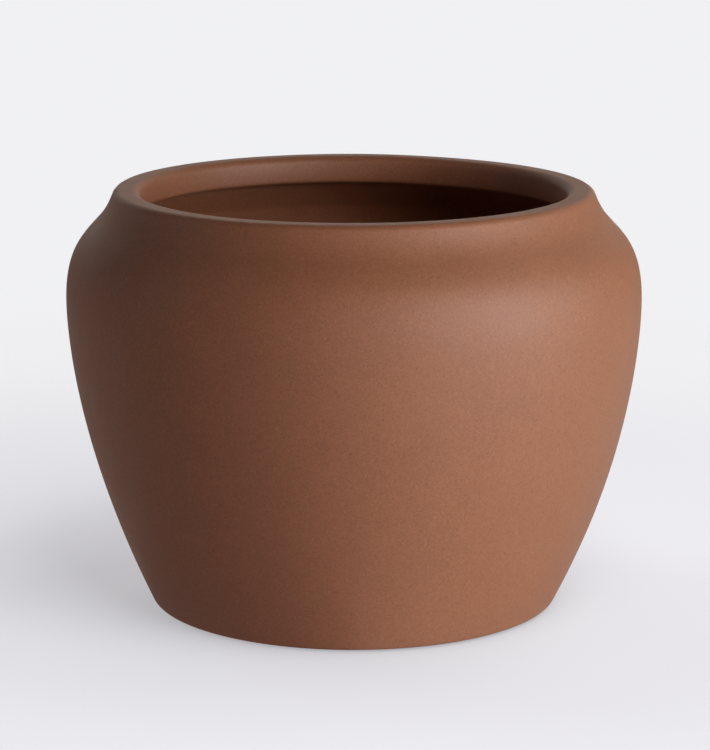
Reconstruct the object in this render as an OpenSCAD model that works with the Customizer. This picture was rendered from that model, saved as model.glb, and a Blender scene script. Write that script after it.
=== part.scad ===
// Round-bellied terracotta planter with a flared, rolled rim, a drain hole
// closed by a lift-out rubber stopper, and four thin pads under its foot.
// Millimetres. +Z is up. The origin is on the pot's axis, at the surface it
// stands on.

/* [Overall] */
// Height from the standing surface to the top of the rim
overall_h = 260; // [235:1:275]
// Widest diameter, across the belly
belly_d = 356; // [330:1:380]
// Height of the widest point above the clay underside
belly_z = 191; // [180:1:196]

/* [Foot] */
// Diameter where the foot's side line meets the underside
foot_d = 256; // [236:1:276]
// Rounding between the underside and the side
foot_round = 4.5; // [2:0.5:7]
// Lean of the side outwards, just above the foot, from vertical
foot_lean = 26; // [22:1:30]
// Inside diameter of the foot ring
foot_ring_d = 200; // [180:1:210]
// Depth of the recess inside the foot ring
recess_depth = 3; // [2:0.5:5]

/* [Neck and rim] */
// Outside diameter of the rim
rim_d = 298; // [290:1:310]
// Lean of the rim's outside face inwards, from vertical
rim_lean = 21; // [16:0.5:25]
// Rounding of the rim's outer edge
rim_outer_round = 5; // [4:0.5:7]
// Rounding of the rim's inner edge
rim_inner_round = 4.5; // [3:0.5:6]
// Diameter of the opening inside the lip
mouth_d = 262.5; // [256:0.5:266]
// Height of the lip's inside face, from the rim's top to the undercut
lip_h = 16.5; // [14:0.5:20]
// Radius of the neck where the shoulder's curve turns over into the flare
turn_r = 168.5; // [165:0.5:171]
// Height of that turning point below the rim's top
turn_drop = 31; // [28:0.5:34]
// Lean of the neck inwards at the turning point, from vertical
turn_lean = 37; // [34:1:41]

/* [Wall] */
// Thickness of the side wall, square to its surface, up to the belly
wall = 13; // [11:0.5:15]
// Thickness of the wall at the neck, under the rim
wall_neck = 9.5; // [8:0.5:13]
// Thickness of the clay floor over the recess
floor_t = 13; // [10:0.5:16]
// Radius of the corner between the floor and the side, inside
inside_corner = 16; // [10:1:20]

/* [Drain hole and stopper] */
// Diameter of the drain hole
drain_d = 26; // [22:1:30]
// Radial clearance of the stopper's shank in the hole
drain_gap = 0.05; // [0.02:0.01:0.1]
// Diameter of the stopper's flange
flange_d = 40; // [36:1:46]
// Thickness of the stopper's flange
flange_t = 3.5; // [3:0.5:5]
// Diameter of the stopper's pull knob
knob_d = 17; // [14:1:20]
// Height of the pull knob above the flange
knob_h = 11; // [9:0.5:14]

/* [Foot pads] */
// Diameter of one self-adhesive pad
pad_d = 18; // [14:1:20]
// Thickness of a pad
pad_t = 1; // [1:0.1:1.5]

/* [Hidden] */

clay_h = overall_h - pad_t;          // height of the clay itself
belly_r = belly_d / 2;
foot_r = foot_d / 2;
rim_r = rim_d / 2;
mouth_r = mouth_d / 2;
drain_r = drain_d / 2;
floor_z = recess_depth + floor_t;    // top of the clay floor, above the underside
lip_z = clay_h - lip_h;              // the lip's lower edge
lip_edge = 2.5;                      // rounding of that lower edge
pad_ring_r = (foot_ring_d / 2 + foot_r - foot_round) / 2;

// How far each side curve's handles reach, as a share of its chord
side_low = 0.53;
side_high = 0.11;
shoulder_low = 0.37;
shoulder_high = 0.32;
neck_low = 0.44;
neck_high = 0.48;

// ---- geometry functions -------------------------------------------------
function lean_in(a) = [-sin(a), cos(a)];    // upwards, leaning towards the axis
function lean_out(a) = [sin(a), cos(a)];    // upwards, leaning away from it
function curve_at(c, t) =
    pow(1 - t, 3) * c[0] + 3 * pow(1 - t, 2) * t * c[1]
    + 3 * (1 - t) * t * t * c[2] + pow(t, 3) * c[3];
function curve_dir(c, t) =
    3 * pow(1 - t, 2) * (c[1] - c[0]) + 6 * (1 - t) * t * (c[2] - c[1])
    + 3 * t * t * (c[3] - c[2]);
function curve(c, n, from = 0, to = 1) =
    [for (i = [0 : n]) curve_at(c, from + (to - from) * i / n)];
function arc(centre, r, a, b, n) =
    [for (i = [0 : n]) let (q = a + (b - a) * i / n) centre + r * [cos(q), sin(q)]];
// A cubic from p to q that leaves along u and arrives along v
function blend(p, u, low, q, v, high) =
    let (l = norm(q - p)) [p, p + u * l * low, q - v * l * high, q];
// The same curve, moved into the wall by its thickness, which goes from w0 to w1
function inside(c, w0, w1, n) =
    [for (i = [0 : n]) let (t = i / n, d = curve_dir(c, t))
        curve_at(c, t) + (w0 + (w1 - w0) * t) * [-d[1], d[0]] / norm(d)];

// ---- outer line, from the foot up ---------------------------------------
foot_centre = [foot_r - foot_round, foot_round];
foot_end = foot_centre + foot_round * [cos(foot_lean), -sin(foot_lean)];
belly = [belly_r, belly_z];
turn = [turn_r, clay_h - turn_drop];
rim_centre = [rim_r - rim_outer_round, clay_h - rim_outer_round];
rim_start = rim_centre + rim_outer_round * [cos(rim_lean), sin(rim_lean)];

side = blend(foot_end, lean_out(foot_lean), side_low, belly, [0, 1], side_high);
shoulder = blend(belly, [0, 1], shoulder_low, turn, lean_in(turn_lean), shoulder_high);
neck = blend(turn, lean_in(turn_lean), neck_low, rim_start, lean_in(rim_lean), neck_high);

outer = concat(
    arc(foot_centre, foot_round, -90, -foot_lean, 6),
    curve(side, 30, 1 / 30),
    curve(shoulder, 16, 1 / 16),
    curve(neck, 10, 1 / 10),
    arc(rim_centre, rim_outer_round, rim_lean, 90, 8));

// ---- inner line, from the rim down --------------------------------------
lip = concat(
    arc([mouth_r + rim_inner_round, clay_h - rim_inner_round], rim_inner_round, 90, 180, 8),
    arc([mouth_r + lip_edge, lip_z + lip_edge], lip_edge, 180, 260, 5));

wall_up = [for (q = concat(inside(side, wall, wall, 36), inside(shoulder, wall, wall_neck, 16),
                           inside(neck, wall_neck, wall_neck, 10)))
    if (q[1] > floor_z + inside_corner && q[1] < lip_z - 5) q];
wall_top = wall_up[len(wall_up) - 1];
wall_low = wall_up[0];

// Hollow under the lip, from its lower edge out to the wall
undercut = curve([
    lip[len(lip) - 1],
    [lip[len(lip) - 1][0] + 4, lip_z + 0.3],
    [wall_top[0] - 1.5, lip_z - 0.6],
    wall_top], 8, 1 / 8, 7 / 8);

wall_down = [for (i = [len(wall_up) - 1 : -1 : 0]) wall_up[i]];
corner = curve([
    wall_low,
    wall_low - lean_out(foot_lean) * inside_corner * 0.62,
    [wall_low[0] - inside_corner * 0.75, floor_z],
    [wall_low[0] - inside_corner * 1.5, floor_z]], 8, 1 / 8);

// ---- drain hole and underside -------------------------------------------
hole_edge = 1.2;
base_line = concat(
    [[drain_r + hole_edge, floor_z]],
    arc([drain_r + hole_edge, floor_z - hole_edge], hole_edge, 90, 180, 4),
    arc([drain_r + hole_edge, recess_depth + hole_edge], hole_edge, 180, 270, 4),
    curve([[foot_ring_d / 2 - 7, recess_depth], [foot_ring_d / 2 - 3.5, recess_depth],
           [foot_ring_d / 2 - 3.5, 0], [foot_ring_d / 2, 0]], 6));

// ---- pieces -------------------------------------------------------------
module pot_body() {
    color([0.50, 0.31, 0.22])
    translate([0, 0, pad_t])
    rotate_extrude($fn = 180)
    polygon(concat(outer, lip, undercut, wall_down, corner, base_line));
}

// Rubber stopper: a shank in the drain hole, a flange on the clay floor and a
// knob to pull it by
module drain_plug() {
    shank_r = drain_r - drain_gap;
    neck_r = knob_d * 0.29;
    color([0.10, 0.10, 0.10])
    translate([0, 0, pad_t + floor_z])
    rotate_extrude($fn = 96)
    polygon(concat(
        [[0, -floor_t + 1]],
        [[shank_r - 2.2, -floor_t + 1], [shank_r - 1.6, -floor_t + 1.2], [shank_r, -floor_t + 4.5], [shank_r, 0]],
        [[flange_d / 2 - 0.6, 0]],
        arc([flange_d / 2 - 1, 1], 1, -60, 60, 6),
        [[flange_d / 2 - 2.5, flange_t - 0.9]],
        curve([[flange_d / 2 - 4, flange_t - 0.5], [neck_r + 5, flange_t],
               [neck_r, flange_t], [neck_r, flange_t + 3]], 8),
        curve([[neck_r, flange_t + knob_h - 6], [neck_r, flange_t + knob_h - 4.6],
               [knob_d / 2 - 1.5, flange_t + knob_h - 5], [knob_d / 2 - 0.8, flange_t + knob_h - 4.2]], 6),
        arc([knob_d / 2 - 2.2, flange_t + knob_h - 2.8], 2.2, -30, 80, 7),
        [[0, flange_t + knob_h]]));
}

// One pad, on the foot ring, at angle a about the axis
module foot_pad(a) {
    color([0.13, 0.12, 0.12])
    rotate([0, 0, a])
    translate([pad_ring_r, 0, 0])
    rotate_extrude($fn = 64)
    polygon([[0, 0], [pad_d / 2 - 0.3, 0], [pad_d / 2, 0.3], [pad_d / 2, pad_t], [0, pad_t]]);
}

pot_body();
drain_plug();
foot_pad(45);  // foot_pad_1
foot_pad(135);  // foot_pad_2
foot_pad(225);  // foot_pad_3
foot_pad(315);  // foot_pad_4
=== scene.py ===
import math

import bmesh
import bpy
import numpy as np
from mathutils import Matrix, Vector


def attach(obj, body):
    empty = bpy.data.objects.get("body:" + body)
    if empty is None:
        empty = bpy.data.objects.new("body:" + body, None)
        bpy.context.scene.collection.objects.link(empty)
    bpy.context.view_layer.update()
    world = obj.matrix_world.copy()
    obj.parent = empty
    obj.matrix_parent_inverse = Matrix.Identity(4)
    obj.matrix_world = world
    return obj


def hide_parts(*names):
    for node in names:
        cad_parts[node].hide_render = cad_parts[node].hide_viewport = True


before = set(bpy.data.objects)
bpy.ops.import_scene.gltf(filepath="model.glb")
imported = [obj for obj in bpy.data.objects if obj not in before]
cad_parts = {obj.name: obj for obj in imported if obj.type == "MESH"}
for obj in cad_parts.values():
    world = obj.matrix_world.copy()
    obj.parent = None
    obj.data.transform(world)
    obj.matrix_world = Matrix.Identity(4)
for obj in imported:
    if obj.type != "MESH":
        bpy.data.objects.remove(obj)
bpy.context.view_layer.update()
scene = bpy.context.scene

# ---------------------------------------------------------------------------
# The pot's own dimensions, in millimetres, as part.scad has them
# ---------------------------------------------------------------------------
PAD_T = 1.0
CLAY_H = 259.0
BELLY_R, BELLY_Z = 178.0, 191.0
FOOT_R, FOOT_ROUND, FOOT_LEAN = 128.0, 4.5, 26.0
FOOT_RING_R, RECESS = 100.0, 3.0
RIM_R, RIM_LEAN, RIM_OUT, RIM_IN = 149.0, 21.0, 5.0, 4.5
MOUTH_R, LIP_H, LIP_EDGE, LIP_ROLL = 131.25, 16.5, 2.5, 0.9
TURN_R, TURN_DROP, TURN_LEAN = 168.5, 31.0, 37.0
WALL, WALL_NECK, FLOOR_T, CORNER = 13.0, 9.5, 13.0, 16.0
DRAIN_R, DRAIN_GAP, HOLE_EDGE = 13.0, 0.05, 1.2
FLANGE_R, FLANGE_T, KNOB_R, KNOB_H = 20.0, 3.5, 8.5, 11.0
PAD_R = 9.0
FLOOR_Z = RECESS + FLOOR_T
LIP_Z = CLAY_H - LIP_H


def vec(*a):
    return np.array(a, float)


def lean_in(a):
    a = math.radians(a)
    return vec(-math.sin(a), math.cos(a))


def lean_out(a):
    a = math.radians(a)
    return vec(math.sin(a), math.cos(a))


def curve_at(c, t):
    return (1 - t) ** 3 * c[0] + 3 * (1 - t) ** 2 * t * c[1] + 3 * (1 - t) * t * t * c[2] + t ** 3 * c[3]


def curve_dir(c, t):
    return 3 * (1 - t) ** 2 * (c[1] - c[0]) + 6 * (1 - t) * t * (c[2] - c[1]) + 3 * t * t * (c[3] - c[2])


def curve(c, n, start=0.0, end=1.0):
    return [curve_at(c, start + (end - start) * i / n) for i in range(n + 1)]


def arc(centre, r, a, b, n):
    out = []
    for i in range(n + 1):
        q = math.radians(a + (b - a) * i / n)
        out.append(centre + r * vec(math.cos(q), math.sin(q)))
    return out


def blend_curve(p, u, low, q, v, high):
    d = np.linalg.norm(q - p)
    return [p, p + u * d * low, q - v * d * high, q]


def inside(c, w0, w1, n):
    out = []
    for i in range(n + 1):
        t = i / n
        d = curve_dir(c, t)
        out.append(curve_at(c, t) + (w0 + (w1 - w0) * t) * vec(-d[1], d[0]) / np.linalg.norm(d))
    return out


def line(p, q, n):
    """n points from p to q, without p itself."""
    return [p + (q - p) * (i + 1) / n for i in range(n)]


def pot_profile():
    """The closed line that the pot is turned from, and a name for each stretch of it."""
    foot_c = vec(FOOT_R - FOOT_ROUND, FOOT_ROUND)
    a = math.radians(FOOT_LEAN)
    foot_end = foot_c + FOOT_ROUND * vec(math.cos(a), -math.sin(a))
    belly = vec(BELLY_R, BELLY_Z)
    turn = vec(TURN_R, CLAY_H - TURN_DROP)
    rim_c = vec(RIM_R - RIM_OUT, CLAY_H - RIM_OUT)
    b = math.radians(RIM_LEAN)
    rim_start = rim_c + RIM_OUT * vec(math.cos(b), math.sin(b))
    side = blend_curve(foot_end, lean_out(FOOT_LEAN), 0.53, belly, vec(0, 1), 0.11)
    shoulder = blend_curve(belly, vec(0, 1), 0.37, turn, lean_in(TURN_LEAN), 0.32)
    neck = blend_curve(turn, lean_in(TURN_LEAN), 0.44, rim_start, lean_in(RIM_LEAN), 0.48)
    outer = (arc(foot_c, FOOT_ROUND, -90, -FOOT_LEAN, 8) + curve(side, 84, 1 / 84)
             + curve(shoulder, 34, 1 / 34) + curve(neck, 20, 1 / 20)
             + arc(rim_c, RIM_OUT, RIM_LEAN, 90, 12)[1:])
    lip_top = arc(vec(MOUTH_R + RIM_IN, CLAY_H - RIM_IN), RIM_IN, 90, 180, 11)
    lip_low = arc(vec(MOUTH_R + LIP_EDGE, LIP_Z + LIP_EDGE), LIP_EDGE, 180, 260, 7)
    lip = lip_top + line(lip_top[-1], lip_low[0], 9)[:-1] + lip_low
    # The lip's face is slightly rolled: full at half height, 0.9 mm back at its top and lower edge
    lip = [q + vec(LIP_ROLL * (2 * (CLAY_H - q[1]) / LIP_H - 1) ** 2, 0) for q in lip]
    rim_flat = line(outer[-1], lip[0], 4)[:-1]
    up = [q for q in inside(side, WALL, WALL, 64) + inside(shoulder, WALL, WALL_NECK, 28)[1:]
          + inside(neck, WALL_NECK, WALL_NECK, 16)[1:] if FLOOR_Z + CORNER < q[1] < LIP_Z - 5]
    undercut = curve([lip[-1], vec(lip[-1][0] + 4, LIP_Z + 0.3), vec(up[-1][0] - 1.5, LIP_Z - 0.6), up[-1]],
                     10, 1 / 10, 9 / 10)
    low = up[0]
    corner = curve([low, low - lean_out(FOOT_LEAN) * CORNER * 0.62, vec(low[0] - CORNER * 0.75, FLOOR_Z),
                    vec(low[0] - CORNER * 1.5, FLOOR_Z)], 14, 1 / 14)
    floor_end = vec(DRAIN_R + HOLE_EDGE, FLOOR_Z)
    floor = line(corner[-1], floor_end, 26)[:-1]
    hole = (arc(vec(DRAIN_R + HOLE_EDGE, FLOOR_Z - HOLE_EDGE), HOLE_EDGE, 90, 180, 5)
            + line(vec(DRAIN_R, FLOOR_Z - HOLE_EDGE), vec(DRAIN_R, RECESS + HOLE_EDGE), 3)[:-1]
            + arc(vec(DRAIN_R + HOLE_EDGE, RECESS + HOLE_EDGE), HOLE_EDGE, 180, 270, 5))
    step = curve([vec(FOOT_RING_R - 7, RECESS), vec(FOOT_RING_R - 3.5, RECESS),
                  vec(FOOT_RING_R - 3.5, 0), vec(FOOT_RING_R, 0)], 8)
    under = line(hole[-1], step[0], 14)[:-1]
    ring = line(step[-1], outer[0], 5)[:-1]
    parts = [("outer", outer), ("rim", rim_flat), ("lip", lip), ("undercut", undercut),
             ("inner", up[::-1]), ("corner", corner), ("floor", floor), ("hole", hole),
             ("under", under), ("step", step), ("ring", ring)]
    pts = np.array([p for _, seg in parts for p in seg])
    names = [n for n, seg in parts for _ in seg]
    return pts, names


def smooth_curve_object(name, verts, faces, closed_check=True):
    me = bpy.data.meshes.new(name)
    me.from_pydata([tuple(v) for v in verts], [], faces)
    me.validate()
    bm = bmesh.new()
    bm.from_mesh(me)
    bmesh.ops.recalc_face_normals(bm, faces=bm.faces)
    if closed_check and any(len(e.link_faces) != 2 for e in bm.edges):
        raise RuntimeError(name + " isn't a closed mesh")
    if bm.calc_volume(signed=True) < 0:
        bmesh.ops.reverse_faces(bm, faces=bm.faces)
    bm.to_mesh(me)
    bm.free()
    me.shade_smooth()
    ob = bpy.data.objects.new(name, me)
    scene.collection.objects.link(ob)
    return ob


def turned(name, pts, n, wobble=None):
    """A closed ring profile turned about Z into quads. pts are (r, z) in mm; a point with r = 0 becomes a pole."""
    th = np.arange(n) * 2 * math.pi / n
    verts, rows = [], []
    for i, (r, z) in enumerate(pts):
        if r < 1e-6:
            rows.append([len(verts)])
            verts.append((0.0, 0.0, z / 1000))
            continue
        rr, zz = np.full(n, r), np.full(n, z)
        if wobble is not None:
            dr, dz = wobble(i, r, z, th)
            rr, zz = rr + dr, zz + dz
        rows.append(list(range(len(verts), len(verts) + n)))
        verts += [(rr[k] * math.cos(th[k]) / 1000, rr[k] * math.sin(th[k]) / 1000, zz[k] / 1000) for k in range(n)]
    faces = []
    m = len(pts)
    pole = any(len(r) == 1 for r in rows)
    for i in range(m - 1 if pole else m):
        a, b = rows[i], rows[(i + 1) % m]
        if len(a) == 1 and len(b) == 1:
            continue
        for k in range(n):
            q = (k + 1) % n
            if len(a) == 1:
                faces.append((a[0], b[q], b[k]))
            elif len(b) == 1:
                faces.append((a[k], a[q], b[0]))
            else:
                faces.append((a[k], a[q], b[q], b[k]))
    return smooth_curve_object(name, verts, faces)


# ---------------------------------------------------------------------------
# Pot
# ---------------------------------------------------------------------------
profile, part_names = pot_profile()
normals = np.roll(profile, -1, 0) - np.roll(profile, 1, 0)
normals = np.stack([normals[:, 1], -normals[:, 0]], 1)
normals /= np.linalg.norm(normals, axis=1)[:, None]


def clay_wobble(i, r, z, th):
    """Hand-finished clay is never a perfect turning: tenths of a millimetre out of round, and finger rings inside."""
    part = part_names[i]
    if part in ("hole", "under", "step", "ring"):
        return 0 * th, 0 * th
    h = z / CLAY_H
    lift = max(0.0, min(1.0, (z - 10) / 25)) if part == "outer" else 1.0
    d = (0.11 * np.sin(2 * th + 0.9 + 1.6 * h) + 0.07 * np.sin(3 * th - 0.7 + 2.9 * h)
         + 0.035 * np.sin(7 * th + 9.0 * h)) * lift
    if part in ("inner", "corner"):
        # Soft finger rings from throwing, climbing as a slow spiral
        ring = np.sin(2 * math.pi * z / 11.5 + th) + 0.5 * np.sin(2 * math.pi * z / 7.3 + th + 1.3)
        fade = max(0.0, min(1.0, (LIP_Z - 18 - z) / 40))
        d = d + 0.16 * ring * fade
    if part == "floor":
        if r < FLANGE_R + 8:
            return 0 * th, 0 * th
        w = min(1.0, (r - FLANGE_R - 8) / 12)
        return 0 * th, 0.16 * w * np.sin(2 * math.pi * r / 12.5 + th)
    nx, nz = normals[i]
    if part in ("outer", "rim", "lip", "undercut") and z > LIP_Z - 8:
        # The rim's top stays within the height, and its shape goes round in one piece
        return d * 0.8, 0.05 * np.sin(2 * th + 2.0) - 0.06
    return d * nx, d * nz


pot_pts = profile.copy()
pot_pts[:, 1] += PAD_T


def pot_wobble(i, r, z, th):
    return clay_wobble(i, r, z - PAD_T, th)


pot = turned("pot_clay", pot_pts, 240, pot_wobble)


def set_to_one_side(z):
    """The wall stands up to 0.9 mm to +X between foot and shoulder, as hand-finished clay does; z in mm."""
    t = min(1.0, max(0.0, z / 235.0)) ** 0.6
    return 0.88 * math.sin(math.pi * t) ** 2


def ease(lo, hi, v):
    t = min(1.0, max(0.0, (v - lo) / (hi - lo)))
    return t * t * (3 - 2 * t)


def rim_wave(x, y, z):
    """A hand-turned rim isn't quite level: its top stands up to 0.6 mm high at the back left and 0.3 mm low at
    the front left, and the lip's lower edge hangs 1.3 to 1.7 mm lower at the back; all in mm."""
    back = ease(-50, 50, y)
    top = back * 0.62 * (1 - ease(-10, 85, x)) - (1 - back) * 0.3 * (1 - ease(-80, 0, x))
    hang = back * (1.3 + 0.4 * ease(0, 90, x)) * (1 - ease(246, 257, z)) * (1 - ease(137, 150, math.hypot(x, y)))
    return (top - hang) * ease(215, 240, z)


for v in pot.data.vertices:
    # None of it near the drain hole, where the stopper sits
    away = min(1.0, max(0.0, (math.hypot(v.co.x, v.co.y) * 1000 - 28) / 12))
    lift = rim_wave(v.co.x * 1000, v.co.y * 1000, v.co.z * 1000)
    v.co.x += away * set_to_one_side(v.co.z * 1000) / 1000
    v.co.z += lift / 1000

# ---------------------------------------------------------------------------
# Stopper
# ---------------------------------------------------------------------------
shank_r = DRAIN_R - DRAIN_GAP
neck_r = KNOB_R * 2 * 0.29
top = FLANGE_T + KNOB_H
stop_pts = ([vec(0, -FLOOR_T + 1), vec(4, -FLOOR_T + 1), vec(8, -FLOOR_T + 1)]
            + curve([vec(shank_r - 2.2, -FLOOR_T + 1), vec(shank_r - 1.4, -FLOOR_T + 1),
                     vec(shank_r - 1.0, -FLOOR_T + 1.4), vec(shank_r - 0.75, -FLOOR_T + 2.4)], 6)
            + [vec(shank_r, -FLOOR_T + 4.6), vec(shank_r, -6), vec(shank_r, -3), vec(shank_r, -0.5), vec(shank_r, 0.0),
               vec(shank_r + 2.5, 0.0), vec(FLANGE_R - 2.2, 0.0)]
            + arc(vec(FLANGE_R - 1, 1), 1, -80, 60, 10)
            + [vec(FLANGE_R - 1.5, FLANGE_T - 1.35)]
            + curve([vec(FLANGE_R - 2.4, FLANGE_T - 0.92), vec(FLANGE_R - 5, FLANGE_T - 0.3),
                     vec(neck_r + 1.2, FLANGE_T - 0.3), vec(neck_r, FLANGE_T + 3)], 20)
            + curve([vec(neck_r, FLANGE_T + KNOB_H - 6), vec(neck_r, FLANGE_T + KNOB_H - 4.6),
                     vec(KNOB_R - 1.5, top - 5), vec(KNOB_R - 0.8, top - 4.2)], 10)
            + arc(vec(KNOB_R - 2.2, top - 2.8), 2.2, -30, 80, 12)
            + [vec(KNOB_R - 3.4, top - 0.42), vec(KNOB_R - 5.4, top - 0.25), vec(0, top - 0.2)])
stop_pts = np.array(stop_pts)
stop_pts[:, 1] += PAD_T + FLOOR_Z
stopper = turned("stopper_rubber", stop_pts, 128)

# ---------------------------------------------------------------------------
# Pads
# ---------------------------------------------------------------------------
pad_ring = (FOOT_RING_R + FOOT_R - FOOT_ROUND) / 2
pads = []
for k in range(4):
    pts = np.array([vec(0, 0), vec(4, 0), vec(PAD_R - 0.9, 0)]
                   + curve([vec(PAD_R - 0.45, 0), vec(PAD_R - 0.15, 0.02), vec(PAD_R - 0.02, 0.15), vec(PAD_R, 0.4)], 5)
                   + [vec(PAD_R, 0.75), vec(PAD_R - 0.02, 0.93), vec(PAD_R - 0.1, PAD_T), vec(PAD_R - 2, PAD_T), vec(0, PAD_T)])
    pad = turned("pad_%d" % (k + 1), pts, 72)
    a = math.radians(45 + 90 * k)
    pad.data.transform(Matrix.Translation((pad_ring / 1000 * math.cos(a), pad_ring / 1000 * math.sin(a), 0)))
    pads.append(pad)


# ---------------------------------------------------------------------------
# Materials
# ---------------------------------------------------------------------------
class Nodes:
    """Short hands for building a node tree."""

    def __init__(self, name):
        self.mat = bpy.data.materials.new(name)
        self.mat.use_nodes = True
        self.tree = self.mat.node_tree
        self.tree.nodes.clear()
        self.out = self.add("ShaderNodeOutputMaterial")
        self.bsdf = self.add("ShaderNodeBsdfPrincipled")
        self.link(self.bsdf.outputs[0], self.out.inputs["Surface"])
        self.coord = self.add("ShaderNodeTexCoord").outputs["Object"]

    def add(self, kind, **kw):
        node = self.tree.nodes.new(kind)
        for k, v in kw.items():
            setattr(node, k, v)
        return node

    def link(self, a, b):
        self.tree.links.new(a, b)

    def noise(self, scale, detail=2.0, rough=0.5, distortion=0.0, coord=None):
        node = self.add("ShaderNodeTexNoise")
        node.inputs["Scale"].default_value = scale
        node.inputs["Detail"].default_value = detail
        node.inputs["Roughness"].default_value = rough
        node.inputs["Distortion"].default_value = distortion
        self.link(coord or self.coord, node.inputs["Vector"])
        return node.outputs[0]

    def voronoi(self, scale, feature="F1", random=1.0, coord=None):
        node = self.add("ShaderNodeTexVoronoi", feature=feature)
        node.inputs["Scale"].default_value = scale
        node.inputs["Randomness"].default_value = random
        self.link(coord or self.coord, node.inputs["Vector"])
        return node

    def remap(self, value, a, b, c, d, smooth=False):
        node = self.add("ShaderNodeMapRange", clamp=True)
        if smooth:
            node.interpolation_type = "SMOOTHSTEP"
        self.link(value, node.inputs["Value"])
        for key, v in (("From Min", a), ("From Max", b), ("To Min", c), ("To Max", d)):
            node.inputs[key].default_value = v
        return node.outputs["Result"]

    def math(self, op, a, b=None, clamp=False):
        node = self.add("ShaderNodeMath", operation=op, use_clamp=clamp)
        for i, v in enumerate((a, b)):
            if v is None:
                continue
            if isinstance(v, (int, float)):
                node.inputs[i].default_value = v
            else:
                self.link(v, node.inputs[i])
        return node.outputs[0]

    def mix(self, fac, a, b, mode="MIX"):
        node = self.add("ShaderNodeMix", data_type="RGBA", blend_type=mode)
        for socket, v in ((node.inputs[0], fac), (node.inputs[6], a), (node.inputs[7], b)):
            if isinstance(v, (int, float)):
                socket.default_value = v
            elif isinstance(v, (tuple, list)):
                socket.default_value = tuple(v) + (1.0,) if len(v) == 3 else v
            else:
                self.link(v, socket)
        return node.outputs[2]

    def scale_colour(self, colour, value):
        """colour times a grey value."""
        node = self.add("ShaderNodeVectorMath", operation="SCALE")
        self.link(colour, node.inputs[0])
        self.link(value, node.inputs["Scale"])
        return node.outputs[0]

    def bump(self, height, strength, distance, normal=None):
        node = self.add("ShaderNodeBump")
        node.inputs["Strength"].default_value = strength
        node.inputs["Distance"].default_value = distance
        self.link(height, node.inputs["Height"])
        if normal is not None:
            self.link(normal, node.inputs["Normal"])
        return node.outputs[0]


CLAY = (0.297, 0.109, 0.051)


def terracotta():
    m = Nodes("terracotta")
    b = m.bsdf
    # Colour: slow cloud of the firing, a soft mottle, then sand and grit of several sizes
    cloud = m.noise(5.0, 2.0, 0.5)
    mottle = m.noise(42.0, 3.0, 0.55)
    coarse = m.noise(330.0, 2.0, 0.55)
    sand = m.noise(820.0, 2.0, 0.6)
    grit = m.noise(1900.0, 1.0, 0.5)
    warm = m.mix(m.remap(cloud, 0.35, 0.65, 0.0, 1.0), (CLAY[0] * 0.97, CLAY[1] * 0.96, CLAY[2] * 0.95),
                 (CLAY[0] * 1.03, CLAY[1] * 1.04, CLAY[2] * 1.05))
    value = m.math("MULTIPLY", m.remap(mottle, 0.25, 0.75, 0.96, 1.04), m.remap(coarse, 0.25, 0.75, 0.95, 1.05))
    value = m.math("MULTIPLY", value, m.remap(sand, 0.2, 0.8, 0.78, 1.22))
    value = m.math("MULTIPLY", value, m.remap(grit, 0.2, 0.8, 0.84, 1.16))
    colour = m.scale_colour(warm, value)
    speck = m.voronoi(430.0)
    near = m.remap(speck.outputs["Distance"], 0.16, 0.28, 1.0, 0.0)
    pick = m.math("GREATER_THAN", m.noise(510.0, 1.0, 0.5), 0.61)
    light = m.math("MULTIPLY", m.math("MULTIPLY", near, pick), 0.24)
    colour = m.mix(light, colour, (0.46, 0.27, 0.18))
    spot = m.voronoi(330.0)
    near2 = m.remap(spot.outputs["Distance"], 0.12, 0.20, 1.0, 0.0)
    pick2 = m.math("GREATER_THAN", m.noise(370.0, 1.0, 0.5), 0.60)
    dark = m.math("MULTIPLY", m.math("MULTIPLY", near2, pick2), 0.45)
    colour = m.mix(dark, colour, (0.075, 0.032, 0.02))
    m.link(colour, b.inputs["Base Color"])
    # Gloss: dry, a little uneven
    m.link(m.remap(m.math("ADD", m.math("MULTIPLY", sand, 0.5), m.math("MULTIPLY", mottle, 0.5)), 0.3, 0.7, 0.52, 0.66),
           b.inputs["Roughness"])
    b.inputs["Specular IOR Level"].default_value = 0.58
    b.inputs["Diffuse Roughness"].default_value = 0.0
    # Relief: sandy tooth over a faint unevenness, with pits at the dark specks
    n1 = m.bump(m.noise(120.0, 3.0, 0.5), 0.25, 0.00025)
    n2 = m.bump(sand, 0.45, 0.00012, n1)
    n3 = m.bump(grit, 0.4, 0.00005, n2)
    m.link(n3, b.inputs["Normal"])
    return m.mat


def rubber(name, colour, rough, grain):
    m = Nodes(name)
    b = m.bsdf
    dust = m.noise(90.0, 3.0, 0.6)
    fine = m.noise(grain, 2.0, 0.6)
    c = m.mix(m.remap(dust, 0.45, 0.75, 0.0, 0.5), colour, tuple(min(1.0, v * 2.1 + 0.012) for v in colour))
    m.link(c, b.inputs["Base Color"])
    m.link(m.remap(fine, 0.3, 0.7, rough - 0.06, rough + 0.08), b.inputs["Roughness"])
    b.inputs["Specular IOR Level"].default_value = 0.45
    m.link(m.bump(fine, 0.35, 0.00006), b.inputs["Normal"])
    return m.mat


pot.data.materials.append(terracotta())
stopper.data.materials.append(rubber("stopper_black_rubber", (0.022, 0.022, 0.023), 0.55, 1400.0))
pad_material = rubber("pad_foam_rubber", (0.030, 0.029, 0.028), 0.85, 2600.0)
for pad in pads:
    pad.data.materials.append(pad_material)

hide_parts("pot_body"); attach(pot, "pot")
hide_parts("drain_plug"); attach(stopper, "stopper")
for k, pad in enumerate(pads):
    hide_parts("foot_pad_%d" % (k + 1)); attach(pad, "pot")

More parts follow.
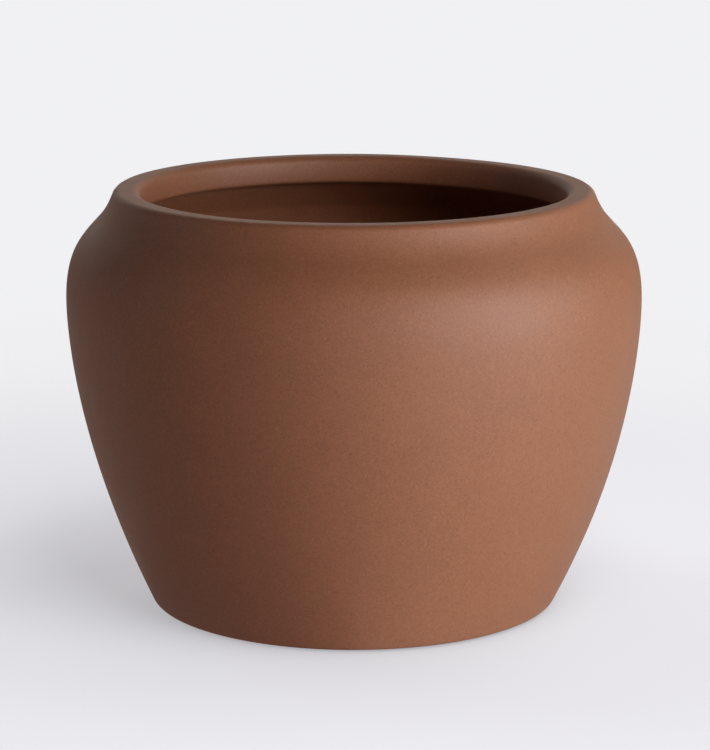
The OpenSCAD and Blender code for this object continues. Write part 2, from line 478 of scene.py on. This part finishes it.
# ---------------------------------------------------------------------------
# Camera, at the photograph's viewing angle
# ---------------------------------------------------------------------------
cam = bpy.data.cameras.new("camera")
cam.sensor_width = 36.0
cam.lens = 2992.1 / 750.0 * 36.0
cam.clip_end = 60.0
cam_ob = bpy.data.objects.new("camera", cam)
scene.collection.objects.link(cam_ob)
cam_ob.location = (0.0008, -1.8280, 0.5367)
cam_ob.rotation_euler = (math.radians(90 - 12.201), 0, 0)
scene.camera = cam_ob

# ---------------------------------------------------------------------------
# Floor and light. The pot and the floor are lit apart, as a studio does with flags and gobos:
# each lamp has its own receivers, and a reflector card stands for the floor's light on the pot.
# ---------------------------------------------------------------------------
# Paper colour near the object and far out: the darker near colour is painted shade, the studio light's falloff painted
# into the paper
PAPER_NEAR = (0.807, 0.799, 0.838)
PAPER_FAR = (0.880, 0.880, 0.896)
PAPER_LIT = 0.20
PAPER_GLOW = 0.52


def stage_piece(name, verts, faces, material):
    me = bpy.data.meshes.new(name)
    me.from_pydata(verts, [], faces)
    me.shade_smooth()
    me.materials.append(material)
    ob = bpy.data.objects.new(name, me)
    scene.collection.objects.link(ob)
    return ob


def circle(r, z, n=128):
    return [(r * math.cos(2 * math.pi * k / n), r * math.sin(2 * math.pi * k / n), z) for k in range(n)]


def disc(name, r, z, material, n=128):
    return stage_piece(name, [(0, 0, z)] + circle(r, z, n), [(0, 1 + k, 1 + (k + 1) % n) for k in range(n)], material)


def distance_out(m):
    """Distance from the object's middle along the floor, in metres."""
    node = m.add("ShaderNodeVectorMath", operation="LENGTH")
    m.link(m.coord, node.inputs[0])
    return node.outputs["Value"]


def paper():
    """Pale studio paper: lit and shadowed near the object, an even pale glow far from it."""
    m = Nodes("floor_paper")
    b = m.bsdf
    out = distance_out(m)
    # Painted shade: the paper's colour is darker near the object and lighter far out, the light's falloff painted in
    tint_and_falloff = m.mix(m.remap(out, 0.40, 0.80, 0.0, 1.0, smooth=True), PAPER_NEAR, PAPER_FAR)
    # The lit patch reaches further behind the object than in front of it
    split = m.add("ShaderNodeSeparateXYZ")
    m.link(m.coord, split.inputs[0])
    reach = m.math("ADD", out, m.remap(split.outputs["Y"], -0.15, 0.35, 0.25, 0.0, smooth=True))
    lit = m.remap(reach, 0.62, 1.10, 1.0, 0.0, smooth=True)
    m.link(m.scale_colour(tint_and_falloff, m.math("MULTIPLY", lit, PAPER_LIT)), b.inputs["Base Color"])
    glow = m.math("SUBTRACT", 1.0, m.math("MULTIPLY", lit, 1.0 - PAPER_GLOW))
    m.link(m.scale_colour(tint_and_falloff, glow), b.inputs["Emission Color"])
    b.inputs["Emission Strength"].default_value = 1.0
    b.inputs["Roughness"].default_value = 1.0
    b.inputs["Specular IOR Level"].default_value = 0.0
    return m


def glowing(name, colour, strength):
    m = Nodes(name)
    b = m.bsdf
    b.inputs["Base Color"].default_value = (0, 0, 0, 1)
    b.inputs["Specular IOR Level"].default_value = 0.0
    b.inputs["Emission Color"].default_value = tuple(colour) + (1,)
    b.inputs["Emission Strength"].default_value = strength
    return m


floor_mat = paper()
floor = disc("floor", 14.0, 0.0, floor_mat.mat)
# A dome of the same paper closes the view above the floor's edge
dome_rows = [circle(14.0 * math.cos(math.radians(a)), 14.0 * math.sin(math.radians(a)) - 0.02) for a in range(0, 90, 6)]
dome_verts = [v for row in dome_rows for v in row] + [(0, 0, 13.98)]
dome_faces = [(i * 128 + k, i * 128 + (k + 1) % 128, (i + 1) * 128 + (k + 1) % 128, (i + 1) * 128 + k)
              for i in range(len(dome_rows) - 1) for k in range(128)]
dome_faces += [((len(dome_rows) - 1) * 128 + k, (len(dome_rows) - 1) * 128 + (k + 1) % 128, len(dome_verts) - 1)
               for k in range(128)]
dome = stage_piece("backdrop", dome_verts, dome_faces, glowing("backdrop_paper", PAPER_FAR, 1.0).mat)
for ob in (floor, dome):
    ob.visible_diffuse = False
    ob.visible_glossy = False
    ob.visible_shadow = False

# Reflector cards in the plane of the floor, in quarters, begin at the foot's edge: the floor is
# brightest where the key lamps fall on it. Angles run from the front towards the right.
CARDS = [
    ("card_front_right", 0, 90, 0.430, (1.00, 0.94, 0.95)),
    ("card_back_right", 90, 180, 0.565, (0.80, 0.97, 1.00)),
    ("card_back_left", 180, 270, 0.451, (1.00, 0.88, 0.80)),
    ("card_front_left", 270, 360, 0.248, (1.00, 0.86, 0.87)),
]
for name, a0, a1, strength, colour in CARDS:
    ring = []
    for r in (0.118, 1.6):
        for k in range(33):
            q = math.radians(a0 + (a1 - a0) * k / 32)
            ring.append((r * math.sin(q), -r * math.cos(q), -0.004))
    card = stage_piece(name, ring, [(k, k + 1, 34 + k, 33 + k) for k in range(32)],
                       glowing(name, colour, strength).mat)
    card.visible_camera = False

subject = bpy.data.collections.new("subject")
for piece in [pot, stopper] + pads:
    subject.objects.link(piece)
ground = bpy.data.collections.new("ground")
ground.objects.link(floor)

# name, position, what it faces, width, height, power, colour
LAMPS = [
    ("back_high", (0.00, 3.00, 2.40), (0.00, 0.00, 0.30), 4.0, 1.2, 15.5, (1.00, 0.93, 0.80)),
    ("back_left", (-2.40, 2.20, 0.60), (0.00, 0.00, 0.30), 1.8, 1.0, 2.4, (1.00, 0.90, 0.80)),
    ("back_low", (0.00, 3.20, 0.45), (0.00, 0.00, 0.30), 5.0, 0.8, 4.0, (1.00, 0.80, 0.80)),
    ("back_middle", (0.00, 3.20, 1.20), (0.00, 0.00, 0.30), 5.0, 0.8, 19.2, (1.00, 0.92, 0.84)),
    ("fill_front", (0.00, -3.00, 0.30), (0.00, 0.00, 0.20), 2.5, 0.6, 8.8, (1.00, 0.88, 0.83)),
    ("key_left_upper", (1.00, -1.73, 0.95), (0.00, 0.00, 0.16), 0.8, 0.6, 1.7, (1.00, 0.97, 0.80)),
    ("key_front_upper", (1.34, -1.49, 1.15), (0.00, 0.00, 0.20), 0.8, 0.6, 5.8, (1.00, 0.92, 0.87)),
    ("key_front_low", (1.34, -1.49, 0.35), (0.00, 0.00, 0.14), 0.7, 0.7, 10.7, (0.93, 0.96, 1.00)),
    ("key_wide_upper", (1.62, -1.18, 0.95), (0.00, 0.00, 0.16), 0.8, 0.6, 8.5, (1.00, 0.94, 0.94)),
    ("key_side_low", (1.83, -0.81, 0.35), (0.00, 0.00, 0.14), 0.7, 0.7, 20.0, (0.80, 0.95, 1.00)),
    ("key_right_upper", (1.97, -0.35, 0.95), (0.00, 0.00, 0.20), 0.8, 0.6, 1.4, (0.80, 0.95, 1.00)),
    ("key_back_upper", (1.73, 1.00, 1.50), (0.00, 0.00, 0.20), 0.8, 0.8, 1.5, (1.00, 1.00, 1.00)),
    ("fill_left", (-3.00, 0.00, 0.70), (0.00, 0.00, 0.30), 2.0, 1.2, 4.8, (0.80, 0.91, 1.00)),
    ("fill_left_high", (-2.40, 0.00, 2.20), (0.00, 0.00, 0.30), 2.0, 1.4, 5.0, (0.80, 0.87, 1.00)),
    ("back_fill", (0.00, 2.40, 0.13), (0.00, 0.00, 0.13), 1.2, 0.2, 13.0, (1.00, 1.00, 1.00)),
]
FLOOR_LAMPS = [
    ("floor_front_high", (1.30, -0.75, 2.60), (0.00, 0.00, 0.10), 1.8, 1.44, 24.8, (1.00, 1.00, 1.00)),
    ("floor_back_left", (-0.75, 1.30, 2.60), (0.00, 0.00, 0.10), 1.8, 1.44, 33.6, (1.00, 1.00, 1.00)),
    ("floor_front_mid", (1.23, -2.13, 1.72), (0.00, 0.00, 0.10), 1.5, 1.2, 63.2, (1.00, 1.00, 1.00)),
    ("floor_back_right", (1.30, 0.75, 2.60), (0.00, 0.00, 0.10), 1.8, 1.44, 58.4, (1.00, 1.00, 1.00)),
    ("floor_right_high", (0.75, -1.30, 2.60), (0.00, 0.00, 0.10), 1.8, 1.44, 109.2, (1.00, 1.00, 1.00)),
    ("floor_left_mid", (-2.13, 1.23, 1.72), (0.00, 0.00, 0.10), 1.5, 1.2, 40.0, (1.00, 1.00, 1.00)),
]


def area_light(name, pos, at, w, h, power, colour, receivers=None):
    li = bpy.data.lights.new(name, "AREA")
    li.shape = "RECTANGLE"
    li.size, li.size_y = w, h
    li.energy = power
    li.color = colour
    ob = bpy.data.objects.new(name, li)
    scene.collection.objects.link(ob)
    ob.location = pos
    ob.rotation_euler = (Vector(at) - Vector(pos)).to_track_quat("-Z", "Y").to_euler()
    ob.visible_camera = False
    if receivers is not None:
        ob.light_linking.receiver_collection = receivers
    return ob


for row in LAMPS:
    area_light(*row, receivers=subject)
# A narrow lamp straight down through the mouth shows the clay floor and the stopper
mouth = bpy.data.lights.new("mouth_lamp", "SPOT")
mouth.energy = 5.0
mouth.color = (1.00, 0.97, 0.93)
mouth.spot_size = math.radians(9.0)
mouth.spot_blend = 1.0
mouth.shadow_soft_size = 0.02
mouth_ob = bpy.data.objects.new("mouth_lamp", mouth)
scene.collection.objects.link(mouth_ob)
mouth_ob.location = (0.0, 0.0, 1.4)
mouth_ob.light_linking.receiver_collection = subject
for row in FLOOR_LAMPS:
    area_light(*row, receivers=ground)

world = bpy.data.worlds.new("world")
scene.world = world
world.use_nodes = True
bg = world.node_tree.nodes.get("Background") or world.node_tree.nodes.new("ShaderNodeBackground")
bg.inputs["Color"].default_value = (1.0, 1.0, 1.0, 1.0)
bg.inputs["Strength"].default_value = 0.0

scene.view_settings.view_transform = "Standard"
scene.view_settings.look = "None"
scene.view_settings.exposure = 0.0
scene.view_settings.gamma = 1.0
scene.cycles.use_denoising = True
